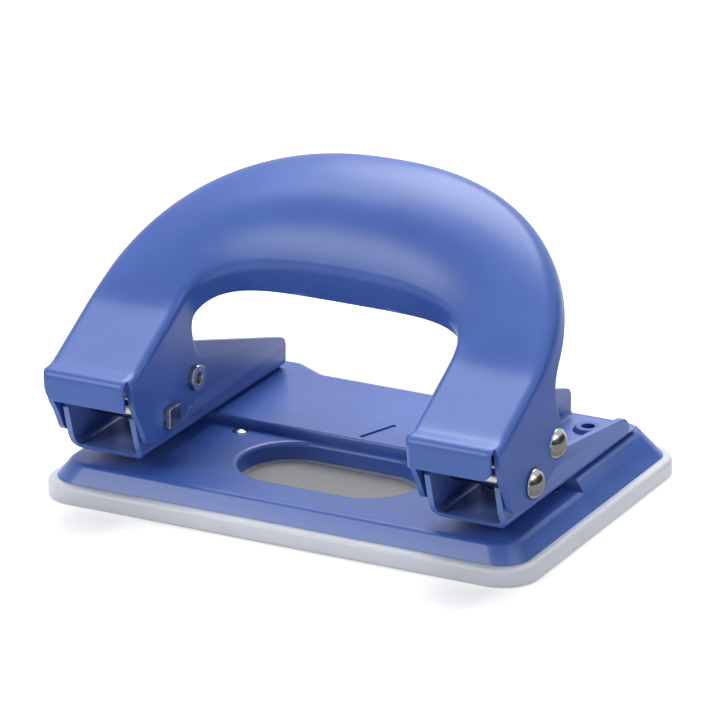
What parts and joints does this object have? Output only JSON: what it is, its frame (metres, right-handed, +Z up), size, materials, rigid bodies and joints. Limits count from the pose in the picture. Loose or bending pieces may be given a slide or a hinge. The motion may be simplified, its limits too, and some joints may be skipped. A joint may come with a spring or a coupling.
{
  "type": "two-hole paper punch",
  "caption": "Desk paper punch: an arched lever handle pivots on channel brackets and drives sprung punches through die plates, over a clip-on tray that catches the discs.",
  "frame": {"origin": "middle of the chip tray's underside, on the desk", "axes": "+X to the user's right along the row of holes, +Y away from the side where the paper goes in, +Z up"},
  "size_m": [0.1078, 0.0793, 0.064],
  "materials": {
    "painted_steel": "blue gloss enamel on pressed steel sheet",
    "frosted_plastic": "frosted translucent",
    "nickel_plate": "nickel plate",
    "tool_steel": "ground",
    "spring_steel": "oil blackened"
  },
  "bodies": {
    "base": {"base_plate": "painted_steel", "bracket_left": "painted_steel", "bracket_right": "painted_steel", "pivot_pin_left": "nickel_plate", "pivot_pin_right": "nickel_plate", "return_spring_left": "spring_steel", "return_spring_right": "spring_steel", "die_plate_left": "tool_steel", "die_plate_right": "tool_steel", "bracket_rivets_left": "painted_steel", "bracket_rivets_right": "painted_steel", "die_rivets_left": "nickel_plate", "die_rivets_right": "nickel_plate"},
    "lever": {"handle": "painted_steel", "drive_pin_left": "nickel_plate", "drive_pin_right": "nickel_plate"},
    "left_punch": {"punch_left": "tool_steel", "spring_washer_left": "nickel_plate", "punch_clip_left": "spring_steel"},
    "right_punch": {"punch_right": "tool_steel", "spring_washer_right": "nickel_plate", "punch_clip_right": "spring_steel"},
    "tray": {"chip_tray": "frosted_plastic"}
  },
  "joints": [
    {"name": "handle_press", "type": "hinge", "parent": "base", "child": "lever", "pos_m": [0, -0.02481, 0.0174], "axis": [-1, 0, 0], "range_deg": [0, 26.83], "stiffness_Nm_per_rad": 0.35, "springref_deg": -32.66},
    {"name": "punch_left_slide", "type": "slide", "parent": "base", "child": "left_punch", "axis": [0, 0, -1], "range_m": [0, 0.0052], "deforming": ["return_spring_left"]},
    {"name": "punch_right_slide", "type": "slide", "parent": "base", "child": "right_punch", "axis": [0, 0, -1], "range_m": [0, 0.0052], "deforming": ["return_spring_right"]},
    {"name": "tray_off", "type": "slide", "parent": "base", "child": "tray", "axis": [0, 0, -1], "range_m": [0, 0.012]}
  ],
  "couplings": [
    {"joint": "punch_left_slide", "follows": "handle_press", "m_per_rad": 0.011105},
    {"joint": "punch_right_slide", "follows": "handle_press", "m_per_rad": 0.011105}
  ]
}
